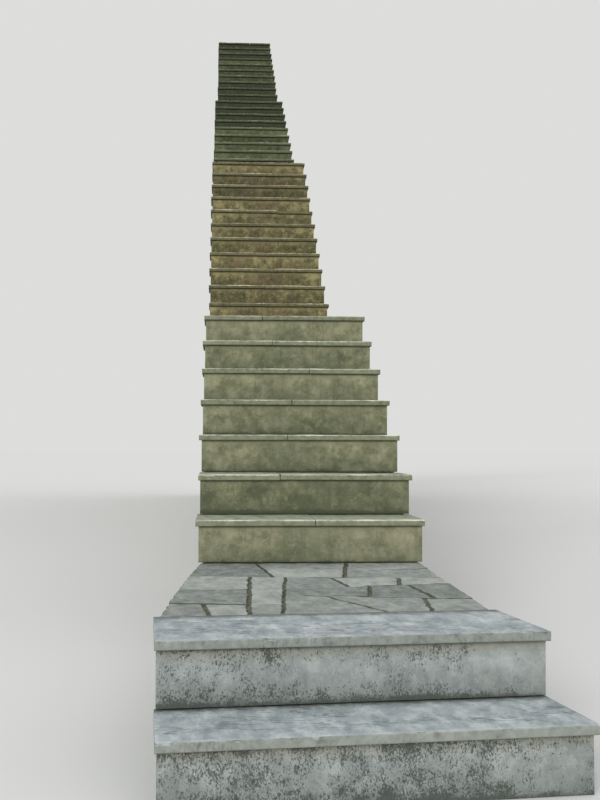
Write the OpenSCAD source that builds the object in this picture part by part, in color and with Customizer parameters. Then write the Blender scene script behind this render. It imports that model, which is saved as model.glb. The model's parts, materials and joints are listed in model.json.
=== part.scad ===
// Long outdoor stone stair: five flights of slab steps with paved landings on one stepped masonry body.
// Millimetres, +Z up, +Y up the stair, +X to the right of someone who climbs it.
// The origin lies on the ground, at the centre of the lowest flight's underside.

/* [Steps] */
// Rise from one tread to the next
step_rise = 170; // [150:5:190]
// Thickness of a tread slab
tread_t = 26; // [20:1:36]
// Overhang of a tread slab in front of its riser
nosing = 28; // [15:1:40]
// Overhang of a tread slab past the flank of the masonry
side_lap = 10; // [4:1:20]
// Radius of the eased arris along a tread's front edges
arris_r = 4; // [1:0.5:8]
// Thickness of a riser slab
riser_t = 25; // [15:1:40]
// Open joint between the two slabs of one tread
slab_joint = 3; // [1:0.5:6]

/* [Landings] */
// Depth of the slab that edges each landing
edge_slab_depth = 410; // [360:10:500]
// Thickness of the paving behind that slab
paving_t = 45; // [30:5:80]
// From the last nosing of the lowest flight to the first of the second
landing_1_depth = 1850; // [1200:10:2400]
// From the last nosing of the second flight to the first of the third
landing_2_depth = 2095; // [1200:5:2600]
// From the last nosing of the third flight to the first of the fourth
landing_3_depth = 1000; // [800:10:1600]
// From the last nosing to the back of the top landing
top_landing_depth = 1000; // [600:10:1600]

/* [Lowest flight] */
// Steps in the lowest flight
flight_1_steps = 2; // [2:1:4]
// Going of the lowest flight, from nosing to nosing
flight_1_going = 293; // [260:1:340]
// Width of its treads
flight_1_width = 996; // [900:1:1100]
// Turn of the lowest flight to the left of the others, in degrees
flight_1_turn = 7; // [0:0.5:10]

/* [Middle flights] */
// Width of the treads in the second and third flights
middle_width = 905; // [850:1:1000]
// How far right of the lowest flight's centre their centre line runs
middle_shift = 28; // [-40:1:80]
// Steps in the second flight
flight_2_steps = 7; // [3:1:9]
// Going of the second flight
flight_2_going = 350; // [300:1:380]
// Steps in the third flight
flight_3_steps = 12; // [6:1:14]
// Going of the third flight
flight_3_going = 278; // [260:1:340]

/* [Upper flights] */
// Steps in the fourth flight
flight_4_steps = 10; // [6:1:12]
// Going of the fourth flight
flight_4_going = 328; // [270:1:350]
// Width of its treads
flight_4_width = 875; // [830:1:890]
// Set-back of its left ends from those of the middle flights
flight_4_inset = 5; // [0:1:12]
// Steps in the fifth flight
flight_5_steps = 10; // [6:1:12]
// Going of the fifth flight
flight_5_going = 289; // [270:1:340]
// Width of its treads
flight_5_width = 790; // [700:1:810]
// Set-back of its left ends from those of the middle flights
flight_5_inset = 35; // [20:1:50]

/* [Hidden] */
$fn = 32;

// Where the joint between a tread's two slabs falls, as a share of the width, course by course
joint_courses = [0.52, 0.38, 0.44, 0.48, 0.6, 0.41, 0.36, 0.44, 0.64, 0.33, 0.5, 0.57];

marble = "#b9bab2";
limestone = "#a8a591";
stained_stone = "#8f8a6a";
riser_stone = "#9c9a8c";
rubble_grey = "#8d8b80";
paving_stone = "#9a978a";

// From a nosing back to the upright face of the masonry behind its riser slab
face_set = nosing + riser_t;

// Tops of the landings
landing_1_z = flight_1_steps * step_rise;
landing_2_z = landing_1_z + flight_2_steps * step_rise;
landing_3_z = landing_2_z + flight_3_steps * step_rise;
flight_5_z = landing_3_z + flight_4_steps * step_rise;
top_z = flight_5_z + flight_5_steps * step_rise;

// The lowest flight is centred on the origin, then turned about it
flight_1_length = (flight_1_steps - 1) * flight_1_going + edge_slab_depth;
flight_1_y = -(face_set + flight_1_length) / 2;
flight_1_left = -flight_1_width / 2;
flight_1_last_y = flight_1_y + (flight_1_steps - 1) * flight_1_going;
flight_1_end = flight_1_y + flight_1_length;

// First and last nosing and core end of each upper flight
flight_2_y = turned([0, flight_1_last_y]).y + landing_1_depth;
flight_2_last_y = flight_2_y + (flight_2_steps - 1) * flight_2_going;
flight_2_end = flight_2_last_y + edge_slab_depth;
flight_3_y = flight_2_last_y + landing_2_depth;
flight_3_last_y = flight_3_y + (flight_3_steps - 1) * flight_3_going;
flight_3_end = flight_3_last_y + edge_slab_depth;
flight_4_y = flight_3_last_y + landing_3_depth;
flight_5_y = flight_4_y + (flight_4_steps - 1) * flight_4_going + flight_5_going;
flight_4_end = flight_5_y + face_set;
flight_5_last_y = flight_5_y + (flight_5_steps - 1) * flight_5_going;
flight_5_end = flight_5_last_y + edge_slab_depth;
top_end = flight_5_last_y + top_landing_depth;

middle_left = middle_shift - middle_width / 2;
flight_4_left = middle_left + flight_4_inset;
flight_5_left = middle_left + flight_5_inset;

// A plan point of the lowest flight after its turn about the origin
function turned(p) = [
    p.x * cos(flight_1_turn) - p.y * sin(flight_1_turn),
    p.x * sin(flight_1_turn) + p.y * cos(flight_1_turn)
];

// Plan points at the left and right flank of a flight's masonry, at depth y
function flanks(left, width, y) = [[left + side_lap, y], [left + width - side_lap, y]];

// Side profile of a slab: its front edges are eased to a quarter round
module slab_profile(depth) {
    translate([arris_r, 0])
        square([depth - arris_r, tread_t]);
    translate([0, arris_r])
        square([arris_r, tread_t - 2 * arris_r]);
    for (z = [arris_r, tread_t - arris_r])
        translate([arris_r, z])
            circle(arris_r);
}

// One slab with its top at z and its front edge at y
module slab(x, y, z, length, depth) {
    translate([x, y, z - tread_t])
        rotate([90, 0, 90])
            linear_extrude(length)
                slab_profile(depth);
}

// A tread of two slabs with an open joint between them
module jointed_tread(left, width, y, z, depth, share) {
    joint_x = width * share;
    slab(left, y, z, joint_x - slab_joint / 2, depth);
    slab(left + joint_x + slab_joint / 2, y, z, width - joint_x - slab_joint / 2, depth);
}

// The joint's place in a course; first_course shifts the pattern from flight to flight
function joint_share(course) = joint_courses[course % len(joint_courses)];

// The riser slabs of a flight, each standing on the tread or paving below it
module riser_slabs(left, width, y, z, going, steps) {
    for (n = [0 : steps - 1])
        translate([left + side_lap, y + n * going + nosing, z + n * step_rise])
            cube([width - 2 * side_lap, riser_t, step_rise - tread_t]);
}

// The masonry of a flight, stepped under its treads and upright down to the ground
module stepped_core(left, width, y, end, z, going, steps) {
    stairs = [
        for (n = [1 : steps], far = [false, true])
            [
                far ? (n < steps ? y + n * going + face_set : end) : y + (n - 1) * going + face_set,
                z + n * step_rise - tread_t
            ]
    ];
    translate([left + side_lap, 0, 0])
        rotate([90, 0, 90])
            linear_extrude(width - 2 * side_lap)
                polygon(concat([[end, 0], [y + face_set, 0]], stairs));
}

// The masonry of a landing between two flights, up to the underside of its paving
module landing_core(front, back, z) {
    linear_extrude(z - paving_t)
        polygon([front[0], front[1], back[1], back[0]]);
}

// The paving of a landing, on the same plan as its masonry
module landing_paving(front, back, z) {
    translate([0, 0, z - paving_t])
        linear_extrude(paving_t)
            polygon([front[0], front[1], back[1], back[0]]);
}

module flight_1_core() {
    color(rubble_grey)
        rotate([0, 0, flight_1_turn])
            stepped_core(flight_1_left, flight_1_width, flight_1_y, flight_1_end, 0,
                flight_1_going, flight_1_steps);
}

module flight_2_core() {
    color(rubble_grey)
        stepped_core(middle_left, middle_width, flight_2_y, flight_2_end, landing_1_z,
            flight_2_going, flight_2_steps);
}

module flight_3_core() {
    color(rubble_grey)
        stepped_core(middle_left, middle_width, flight_3_y, flight_3_end, landing_2_z,
            flight_3_going, flight_3_steps);
}

module flight_4_core() {
    color(rubble_grey)
        stepped_core(flight_4_left, flight_4_width, flight_4_y, flight_4_end, landing_3_z,
            flight_4_going, flight_4_steps);
}

module flight_5_core() {
    color(rubble_grey)
        stepped_core(flight_5_left, flight_5_width, flight_5_y, flight_5_end, flight_5_z,
            flight_5_going, flight_5_steps);
}

// Plan lines where each landing begins and ends
landing_1_front = [for (p = flanks(flight_1_left, flight_1_width, flight_1_end)) turned(p)];
landing_1_back = flanks(middle_left, middle_width, flight_2_y + face_set);
landing_2_front = flanks(middle_left, middle_width, flight_2_end);
landing_2_back = flanks(middle_left, middle_width, flight_3_y + face_set);
landing_3_front = flanks(middle_left, middle_width, flight_3_end);
landing_3_back = flanks(flight_4_left, flight_4_width, flight_4_y + face_set);
top_landing_front = flanks(flight_5_left, flight_5_width, flight_5_end);
top_landing_back = flanks(flight_5_left, flight_5_width, top_end);

module landing_1_core() {
    color(rubble_grey)
        landing_core(landing_1_front, landing_1_back, landing_1_z);
}

module landing_2_core() {
    color(rubble_grey)
        landing_core(landing_2_front, landing_2_back, landing_2_z);
}

module landing_3_core() {
    color(rubble_grey)
        landing_core(landing_3_front, landing_3_back, landing_3_z);
}

module top_landing_core() {
    color(rubble_grey)
        landing_core(top_landing_front, top_landing_back, top_z);
}

module landing_1_paving() {
    color(paving_stone)
        landing_paving(landing_1_front, landing_1_back, landing_1_z);
}

module landing_2_paving() {
    color(paving_stone)
        landing_paving(landing_2_front, landing_2_back, landing_2_z);
}

module landing_3_paving() {
    color(paving_stone)
        landing_paving(landing_3_front, landing_3_back, landing_3_z);
}

module top_landing_paving() {
    color(paving_stone)
        landing_paving(top_landing_front, top_landing_back, top_z);
}

module flight_1_risers() {
    color(riser_stone)
        rotate([0, 0, flight_1_turn])
            riser_slabs(flight_1_left, flight_1_width, flight_1_y, 0, flight_1_going, flight_1_steps);
}

module flight_2_risers() {
    color(riser_stone)
        riser_slabs(middle_left, middle_width, flight_2_y, landing_1_z, flight_2_going, flight_2_steps);
}

module flight_3_risers() {
    color(stained_stone)
        riser_slabs(middle_left, middle_width, flight_3_y, landing_2_z, flight_3_going, flight_3_steps);
}

module flight_4_risers() {
    color(stained_stone)
        riser_slabs(flight_4_left, flight_4_width, flight_4_y, landing_3_z, flight_4_going, flight_4_steps);
}

module flight_5_risers() {
    color(stained_stone)
        riser_slabs(flight_5_left, flight_5_width, flight_5_y, flight_5_z, flight_5_going, flight_5_steps);
}

// The lowest flight's treads are single slabs; its last one edges the first landing
module flight_1_tread(n) {
    color(marble)
        rotate([0, 0, flight_1_turn])
            slab(flight_1_left, flight_1_y + (n - 1) * flight_1_going, n * step_rise, flight_1_width,
                n < flight_1_steps ? flight_1_going + face_set : edge_slab_depth);
}

module flight_2_tread(n) {
    color(limestone)
        jointed_tread(middle_left, middle_width, flight_2_y + (n - 1) * flight_2_going,
            landing_1_z + n * step_rise,
            n < flight_2_steps ? flight_2_going + face_set : edge_slab_depth,
            joint_share(n - 1));
}

module flight_3_tread(n) {
    color(limestone)
        jointed_tread(middle_left, middle_width, flight_3_y + (n - 1) * flight_3_going,
            landing_2_z + n * step_rise,
            n < flight_3_steps ? flight_3_going + face_set : edge_slab_depth,
            joint_share(n));
}

// The last tread of the fourth flight runs on under the first riser of the fifth
module flight_4_treads() {
    color(stained_stone)
        for (n = [1 : flight_4_steps])
            jointed_tread(flight_4_left, flight_4_width, flight_4_y + (n - 1) * flight_4_going,
                landing_3_z + n * step_rise,
                (n < flight_4_steps ? flight_4_going : flight_5_going) + face_set,
                joint_share(n + 3));
}

module flight_5_treads() {
    color(stained_stone)
        for (n = [1 : flight_5_steps])
            jointed_tread(flight_5_left, flight_5_width, flight_5_y + (n - 1) * flight_5_going,
                flight_5_z + n * step_rise,
                n < flight_5_steps ? flight_5_going + face_set : edge_slab_depth,
                joint_share(n + 6));
}

flight_1_core();
flight_2_core();
flight_3_core();
flight_4_core();
flight_5_core();
landing_1_core();
landing_2_core();
landing_3_core();
top_landing_core();
landing_1_paving();
landing_2_paving();
landing_3_paving();
top_landing_paving();
flight_1_risers();
flight_2_risers();
flight_3_risers();
flight_4_risers();
flight_5_risers();
for (n = [1 : flight_1_steps])
    flight_1_tread(n);
for (n = [1 : flight_2_steps])
    flight_2_tread(n);
for (n = [1 : flight_3_steps])
    flight_3_tread(n);
flight_4_treads();
flight_5_treads();
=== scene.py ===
# %% [markdown]
# # Outdoor stone steps
# A long stair climbs in five flights. Every step is a thin tread slab that overhangs an upright riser slab,
# and both are laid on a mass of masonry. The landings between are paved with irregular stones. The
# engineering model gives each slab its size and place. This lesson gives the same slabs their worn edges,
# their joints and their weathered finishes, and builds the walls under them from rough stones.

# %% Load the frame
import json
import math
import random

import bmesh
import bpy
from mathutils import Matrix, Vector

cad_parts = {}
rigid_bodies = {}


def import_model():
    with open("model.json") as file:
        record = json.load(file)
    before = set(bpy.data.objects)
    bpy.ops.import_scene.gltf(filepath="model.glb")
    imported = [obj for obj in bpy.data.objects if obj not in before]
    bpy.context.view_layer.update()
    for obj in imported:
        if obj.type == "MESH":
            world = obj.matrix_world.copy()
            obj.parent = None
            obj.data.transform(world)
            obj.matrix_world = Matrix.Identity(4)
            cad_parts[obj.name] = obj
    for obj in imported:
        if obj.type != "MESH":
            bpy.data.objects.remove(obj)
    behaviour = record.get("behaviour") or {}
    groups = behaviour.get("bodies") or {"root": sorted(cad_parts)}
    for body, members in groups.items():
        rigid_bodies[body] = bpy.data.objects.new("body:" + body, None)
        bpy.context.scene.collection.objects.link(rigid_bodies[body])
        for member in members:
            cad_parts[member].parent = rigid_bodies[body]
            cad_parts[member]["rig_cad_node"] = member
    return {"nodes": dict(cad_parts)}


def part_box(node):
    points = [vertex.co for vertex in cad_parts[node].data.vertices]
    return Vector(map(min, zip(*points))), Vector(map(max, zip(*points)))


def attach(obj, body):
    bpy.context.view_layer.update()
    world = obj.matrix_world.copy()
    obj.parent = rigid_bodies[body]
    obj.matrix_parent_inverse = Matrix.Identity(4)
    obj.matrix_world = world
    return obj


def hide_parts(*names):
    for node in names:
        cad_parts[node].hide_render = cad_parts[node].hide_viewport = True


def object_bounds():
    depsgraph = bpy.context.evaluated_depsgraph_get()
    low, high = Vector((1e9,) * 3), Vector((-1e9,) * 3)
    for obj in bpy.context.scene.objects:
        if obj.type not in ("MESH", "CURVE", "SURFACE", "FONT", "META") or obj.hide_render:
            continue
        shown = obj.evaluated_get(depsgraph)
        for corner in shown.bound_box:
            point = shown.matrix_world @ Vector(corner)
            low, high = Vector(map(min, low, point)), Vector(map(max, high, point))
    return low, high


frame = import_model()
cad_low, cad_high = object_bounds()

bpy.ops.object.select_all(action="DESELECT")
scene = bpy.context.scene
print("frame nodes:", len(frame["nodes"]), "size:", [round(v, 3) for v in cad_high - cad_low])

# %% [markdown]
# ## The camera
# The photograph was taken from three metres in front of the lowest step, at hip height and a little left of
# the middle. The stair's own lines gave that place: about ninety corners of slabs were matched by one camera.
# A focal length of 1250 pixels in a frame 800 pixels high is the same as a lens of 56.25 mm on a sensor 36 mm
# high.

# %% Place the camera
CAMERA_PLACE = (-0.3292, -3.1381, 0.8025)
YAW, PITCH, ROLL = math.radians(3.6234), math.radians(2.0448), math.radians(0.14)
LENS, SENSOR_HEIGHT = 56.25, 36.0
SEES_AS_FAR_AS = 500.0

bpy.ops.object.camera_add()
camera = bpy.context.object
camera.name = "camera"
camera.data.sensor_fit = "VERTICAL"
camera.data.sensor_height = SENSOR_HEIGHT
camera.data.lens = LENS
turn_right = Matrix.Rotation(-YAW, 4, "Z")
look_up = Matrix.Rotation(math.pi / 2 + PITCH, 4, "X")
camera.matrix_world = Matrix.Translation(CAMERA_PLACE) @ turn_right @ look_up @ Matrix.Rotation(ROLL, 4, "Z")
camera.data.clip_end = SEES_AS_FAR_AS
scene.camera = camera
print("camera at", [round(v, 3) for v in camera.location])

# %% [markdown]
# ## Colours and nodes
# Colours are written as they look on a screen, in hex. Blender's shaders count in linear light, so one
# function turns them. A second one adds a node with its options and links, and gives back the output that
# the next node reads. The light and every finish below are built from these two.

# %% Turn a colour
def linear(colour):
    """A screen colour such as #8a9290 in linear light, with full opacity."""
    parts = [int(colour[i : i + 2], 16) / 255 for i in (1, 3, 5)]
    return [v / 12.92 if v <= 0.04045 else ((v + 0.055) / 1.055) ** 2.4 for v in parts] + [1.0]


print("#8a9290 in linear light:", [round(v, 3) for v in linear("#8a9290")])

# %% Add a node
def add(tree, kind, inputs=None, output=None, stops=None, points=None, **options):
    """Adds a node. Inputs are named or numbered; each is a number, a hex colour or another node's output."""
    node = tree.nodes.new("ShaderNode" + kind)
    for name, value in options.items():
        setattr(node, name, value)
    for name, value in (inputs or {}).items():
        named = isinstance(name, str)
        socket = next(s for s in node.inputs if s.name == name and s.enabled) if named else node.inputs[name]
        if isinstance(value, bpy.types.NodeSocket):
            tree.links.new(value, socket)
        else:
            socket.default_value = linear(value) if isinstance(value, str) else value
    for index, (place, colour) in enumerate(stops or []):
        ramp = node.color_ramp.elements
        stop = ramp[index] if index < 2 else ramp.new(place)
        stop.position, stop.color = place, linear(colour)
    for index, point in enumerate(points or []):
        curve = node.mapping.curves[0].points
        if index < 2:
            curve[index].location = point
        else:
            curve.new(*point)
    if points:
        node.mapping.update()
    if output is not None:
        return node.outputs[output]
    return next((s for s in node.outputs if s.enabled), None)


# %% [markdown]
# ## The light
# A plain studio: an even white sky, and one broad lamp in front and to the left, not far above the camera.
# In the photograph the light comes in low too, so a nosing throws only a thin line of shadow on its riser. A
# higher lamp would darken the whole upper half of every riser. Sky and lamp together light an upright slab so
# that its colour comes out about as it is written. The camera sees a pale backdrop, not the sky.

# %% Lay the floor
FLOOR_SIZE, FLOOR_MIDDLE = 240, (0, 8, 0)

bpy.ops.mesh.primitive_plane_add(size=FLOOR_SIZE, location=FLOOR_MIDDLE)
floor = bpy.context.object
floor.name = "floor"
floor_paint = bpy.data.materials.new("pale_studio_floor")
floor_paint.use_nodes = True
tree = floor_paint.node_tree
tree.nodes.clear()
shade = add(tree, "BsdfDiffuse", {"Color": "#f2f3f1"})
add(tree, "OutputMaterial", {"Surface": shade})
floor.data.materials.append(floor_paint)
print("floor of", FLOOR_SIZE, "metres in", floor_paint.name)

# %% Sky and lamp
SKY_LIGHT = 0.66
LAMP_LIGHT = 1.65
LAMP_ABOVE, LAMP_LEFT, LAMP_WIDTH = math.radians(16), math.radians(22), math.radians(20)
BACKDROP = "#dddedc"

world = bpy.data.worlds.new("studio")
scene.world = world
world.use_nodes = True
tree = world.node_tree
tree.nodes.clear()
seen = add(tree, "LightPath", output="Is Camera Ray")
for ray in ("Is Glossy Ray", "Is Transmission Ray"):
    also = add(tree, "LightPath", output=ray)
    seen = add(tree, "Math", {0: seen, 1: also}, operation="MAXIMUM")
sky = add(tree, "Background", {"Color": "#ffffff", "Strength": SKY_LIGHT})
backdrop = add(tree, "Background", {"Color": BACKDROP, "Strength": 1.0})
mixed = add(tree, "MixShader", {"Fac": seen, 1: sky, 2: backdrop})
add(tree, "OutputWorld", {"Surface": mixed})

bpy.ops.object.light_add(type="SUN", rotation=(math.pi / 2 - LAMP_ABOVE, 0, -LAMP_LEFT))
lamp = bpy.context.object
lamp.name = "broad_lamp"
lamp.data.energy = LAMP_LIGHT
lamp.data.angle = LAMP_WIDTH
scene.view_settings.view_transform = "Standard"
print("sky", SKY_LIGHT, "lamp", LAMP_LIGHT)

# %% [markdown]
# ## Helping hands
# The slabs are modelled as by hand: select something, then use a tool on it. These helpers do the selecting
# and the copying. Edges and faces are picked by where they are or which way they face.

# %% Select
SAME_PLACE = 1e-5  # corners that lie closer than this are one corner, in metres
TOUCHING = 1e-4  # what lies closer to a face than this belongs to it
SHARP = 1.0  # an edge is sharp where its faces meet at more than this angle, in radians
NEARLY = 0.9  # a face looks along an axis when its normal has more than this share of it


def only(piece):
    """Selects one object and nothing else, in object mode."""
    if bpy.context.mode != "OBJECT":
        bpy.ops.object.mode_set(mode="OBJECT")
    bpy.ops.object.select_all(action="DESELECT")
    piece.select_set(True)
    bpy.context.view_layer.objects.active = piece


def edit(piece):
    """Opens one object in edit mode with all of it selected."""
    only(piece)
    bpy.ops.object.mode_set(mode="EDIT")
    bpy.ops.mesh.select_all(action="SELECT")


def pick(piece, kind, wanted):
    """In edit mode, selects only the verts, edges or faces that are wanted."""
    bpy.ops.mesh.select_mode(type={"verts": "VERT", "edges": "EDGE", "faces": "FACE"}[kind])
    bpy.ops.mesh.select_all(action="DESELECT")
    mesh = bmesh.from_edit_mesh(piece.data)
    for item in [item for item in getattr(mesh, kind) if wanted(item)]:
        item.select_set(True)
    mesh.select_flush_mode()
    bmesh.update_edit_mesh(piece.data)


def middle(edge):
    """Middle of an edge."""
    return (edge.verts[0].co + edge.verts[1].co) / 2


def facing(*direction):
    """A test for faces that look in a direction."""
    return lambda face: face.normal.dot(Vector(direction)) > NEARLY


def front_rim(front):
    """A test for the sharp edges around a front face, which looks towards -Y."""
    return lambda edge: middle(edge).y < front + TOUCHING and edge.calc_face_angle(0) > SHARP


print("corners closer than", SAME_PLACE * 1000, "mm are one corner")

# %% Copy, join and smooth
def copy_of(piece, name, shift=(0.0, 0.0, 0.0)):
    """A copy with its own mesh, moved by shift."""
    twin = piece.copy()
    twin.data = piece.data.copy()
    twin.name = twin.data.name = name
    scene.collection.objects.link(twin)
    twin.data.transform(Matrix.Translation(shift))
    return twin


def join(pieces, name):
    """Joins pieces into one object of that name."""
    only(pieces[0])
    for piece in pieces[1:]:
        piece.select_set(True)
    if len(pieces) > 1:
        bpy.ops.object.join()
    pieces[0].name = pieces[0].data.name = name
    return pieces[0]


def smooth(piece, angle):
    """Shades a piece smooth, but for the edges that are sharper than an angle in degrees."""
    only(piece)
    bpy.ops.object.shade_smooth_by_angle(angle=math.radians(angle))


# %% [markdown]
# ## Reading the sizes off the frame
# The engineering model knows how wide, deep and high each slab is, and where the joint between the two slabs
# of a tread falls. Those sizes are read from its meshes, so nothing here can disagree with them. A node can
# hold several slabs, so the function walks from corner to corner and gives the box of each separate solid.

# %% Boxes of the separate slabs in a node
TURN = math.radians(7)  # the lowest flight is turned a little to the left of the others


def solids_in(node, turn=0.0):
    """Lowest and highest corner of every solid in a node, in the flight's own directions, lowest first."""
    mesh = bmesh.new()
    mesh.from_mesh(frame["nodes"][node].data)
    bmesh.ops.rotate(mesh, verts=mesh.verts, matrix=Matrix.Rotation(-turn, 3, "Z"))
    bmesh.ops.remove_doubles(mesh, verts=mesh.verts, dist=SAME_PLACE)
    waiting, boxes = set(mesh.verts), []
    while waiting:
        edge_of_walk, island = [waiting.pop()], []
        while edge_of_walk:
            corner = edge_of_walk.pop()
            island.append(corner.co.copy())
            for link in corner.link_edges:
                other = link.other_vert(corner)
                if other in waiting:
                    waiting.remove(other)
                    edge_of_walk.append(other)
        low = Vector(min(v[i] for v in island) for i in range(3))
        high = Vector(max(v[i] for v in island) for i in range(3))
        boxes.append((low, high))
    mesh.free()
    return sorted(boxes, key=lambda box: (round(box[1].z, 3), round(box[0].x, 3)))


first_slab = solids_in("flight_1_tread_1", TURN)[0]
print("lowest tread slab, mm:", [round(v * 1000) for v in first_slab[1] - first_slab[0]])

# %% [markdown]
# ## Wear
# Decades of rain and feet have taken a few millimetres off every edge. A Displace modifier that reads a cloud
# texture does that. On a slab it pushes only inwards, so that no slab grows past its real size. A vertex
# group says which part wears. Textures are read in world space, so that no two copies wear alike.

# %% Clouds of wear
def cloud(name, size, contrast=1.0, brightness=1.0, depth=2):
    """A cloud texture with features of a real size in metres."""
    texture = bpy.data.textures.new(name, "CLOUDS")
    texture.noise_scale = size
    texture.noise_depth = depth
    texture.contrast = contrast
    texture.intensity = brightness
    texture.use_clamp = True
    return texture


LONG_WAVES = cloud("long_waves", 0.16)
SHORT_WAVES = cloud("short_waves", 0.035)
CHIPS = cloud("chips", 0.028, contrast=5.0, brightness=0.28, depth=1)
HOLLOWS = cloud("hollows", 0.09, contrast=1.6)
print("clouds:", [texture.name for texture in (LONG_WAVES, SHORT_WAVES, CHIPS, HOLLOWS)])

# %% Wear a piece where its weights say
def wear(piece, texture, direction, strength, group="", centred=False):
    """Wears a piece by a texture, and applies it."""
    only(piece)
    bpy.ops.object.modifier_add(type="DISPLACE")
    modifier = piece.modifiers[-1]
    modifier.texture = texture
    modifier.texture_coords = "GLOBAL"
    modifier.direction = direction
    modifier.mid_level = 0.5 if centred else 0.0
    modifier.strength = strength
    modifier.vertex_group = group
    bpy.ops.object.modifier_apply(modifier=modifier.name)


def weigh(piece, group, share):
    """Fills a vertex group with the share, 0 to 1, that a point's place gives."""
    made = piece.vertex_groups.new(name=group)
    for vertex in piece.data.vertices:
        weight = share(vertex.co)
        if weight > 0:
            made.add([vertex.index], min(weight, 1.0), "REPLACE")


# %% [markdown]
# ## A tread slab
# Each tread is a slab 26 mm thick with its front edges eased by a few millimetres. It starts as a cube of
# the slab's size. The long edges are subdivided into short columns, and straight rows are cut close together
# near the nosing, where wear shows, and further apart behind it. The underside stays one flat face, because
# it lies on the masonry. The rim is bevelled, and the slab gets two facts that later steps read: how much
# each point may wear, and how far back it lies towards the next riser.

# %% A block and its columns
def block(name, low, high):
    """A cube of the size and at the place of a box."""
    bpy.ops.object.select_all(action="DESELECT")
    bpy.ops.mesh.primitive_cube_add(size=1, location=(low + high) / 2, scale=high - low)
    bpy.ops.object.transform_apply(location=True, rotation=True, scale=True)
    piece = bpy.context.object
    piece.name = piece.data.name = name
    return piece


def cut_columns(piece, axis, spacing):
    """Subdivides the long edges that run along an axis."""
    def reach(edge):
        return abs(edge.verts[0].co[axis] - edge.verts[1].co[axis])

    longest = max(reach(edge) for edge in bmesh.from_edit_mesh(piece.data).edges)
    pick(piece, "edges", lambda edge: reach(edge) > longest * NEARLY)
    bpy.ops.mesh.subdivide(number_cuts=max(1, round(longest / spacing) - 1))


# %% Model a blank slab
ARRIS = 0.004
SHORT_BY = 0.0003  # a slab is cut this much short at each end, so that its tilt keeps it in its place
ROWS = (0.012, 0.026, 0.045, 0.075, 0.12, 0.18, 0.25, 0.32)
BACK_UNCUT = 0.02
EDGE_ROW = 0.009
NOSING_DEPTH = 0.06
ARRIS_DEPTH, ARRIS_DROP = 0.014, 0.008
TOP_SKIN = 0.001
RISER_THICKNESS = 0.025


def blank_slab(name, low, high, column):
    """A tread slab with its eased rim, before it is sawn and worn."""
    short = Vector((SHORT_BY, 0, 0))
    slab = block(name, low + short, high - short)
    edit(slab)
    cut_columns(slab, 0, column)
    cut_columns(slab, 2, EDGE_ROW)
    for row in ROWS:
        if row < high.y - low.y - BACK_UNCUT:
            bpy.ops.mesh.select_all(action="SELECT")
            bpy.ops.mesh.bisect(plane_co=(0, low.y + row, 0), plane_no=(0, 1, 0))
    pick(slab, "faces", facing(0, 0, -1))
    bpy.ops.mesh.dissolve_faces()

    def top_end(edge):
        place, sharp = middle(edge), edge.calc_face_angle(0) > SHARP
        return sharp and place.z > high.z - TOUCHING and place.y < high.y - TOUCHING

    pick(slab, "edges", lambda edge: front_rim(low.y)(edge) or top_end(edge))
    bpy.ops.mesh.bevel(offset=ARRIS, segments=3, profile=0.5, affect="EDGES")
    bpy.ops.object.mode_set(mode="OBJECT")
    weigh(slab, "nosing", lambda p: 1 - (p.y - low.y) / NOSING_DEPTH)
    weigh(slab, "arris", lambda p: 1 - (p.y - low.y) / ARRIS_DEPTH if p.z > high.z - ARRIS_DROP else 0)
    weigh(slab, "top", lambda p: 1 if p.z > high.z - TOP_SKIN else 0)
    visible = high.y - low.y - RISER_THICKNESS
    reach = slab.data.attributes.new("towards_riser", "FLOAT", "POINT")
    reach.data.foreach_set("value", [(v.co.y - low.y) / visible for v in slab.data.vertices])
    return slab


test_slab = blank_slab("blank", first_slab[0], first_slab[1], 0.008)
print("a blank slab has", len(test_slab.data.polygons), "faces")
bpy.data.objects.remove(test_slab)

# %% [markdown]
# ## Sawing and laying
# From the second flight up, each tread is laid from two shorter slabs with an open joint. The blank is copied
# to its step and sawn there, once for each side of the joint. No mason lays two slabs exactly level: each
# gets a tilt of a tenth of a degree or two, and sinks by two millimetres. Nor are the treads of a flight in
# one exact line, so each stands up to three millimetres aside or back. Each slab has a tone of its own, and
# those of the upper fourth flight and the fifth are darker: that is painted shade.

# %% Saw and settle a slab
TILT_ALONG, TILT_ACROSS = 0.25, 0.12
TONE_SPREAD = 0.5
print("a slab tilts by up to", TILT_ALONG, "degrees along and", TILT_ACROSS, "across")


def saw(slab, place, keep):
    """Saws a slab across at x = place and keeps its left or right part."""
    edit(slab)
    bpy.ops.mesh.bisect(
        plane_co=(place, 0, 0),
        plane_no=(1, 0, 0),
        use_fill=True,
        clear_inner=keep == "right",
        clear_outer=keep == "left",
    )
    bpy.ops.object.mode_set(mode="OBJECT")


def tilt(centre, along, across, chance):
    """In edit mode, tilts all that is selected about X and Y, by no more than so many degrees."""
    for axis, most in (("X", along), ("Y", across)):
        angle = math.radians(chance.uniform(-most, most))
        bpy.ops.transform.rotate(value=angle, orient_axis=axis, center_override=centre)


def settle(slab, low, high, chance, shift):
    """Tilts a laid slab a little and shifts it by a few millimetres."""
    edit(slab)
    tilt((low + high) / 2, TILT_ALONG, TILT_ACROSS, chance)
    bpy.ops.transform.translate(value=shift)
    bpy.ops.object.mode_set(mode="OBJECT")


def give_tone(stone, chance, shade=0.0, known=None):
    """Gives a stone its own tone, about -1 for dark and 1 for pale: known, or by chance around a shade."""
    by_chance = shade + chance.uniform(-TONE_SPREAD, TONE_SPREAD)
    values = stone.data.attributes.new("tone", "FLOAT", "POINT")
    values.data.foreach_set("value", [by_chance if known is None else known] * len(stone.data.vertices))


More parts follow.
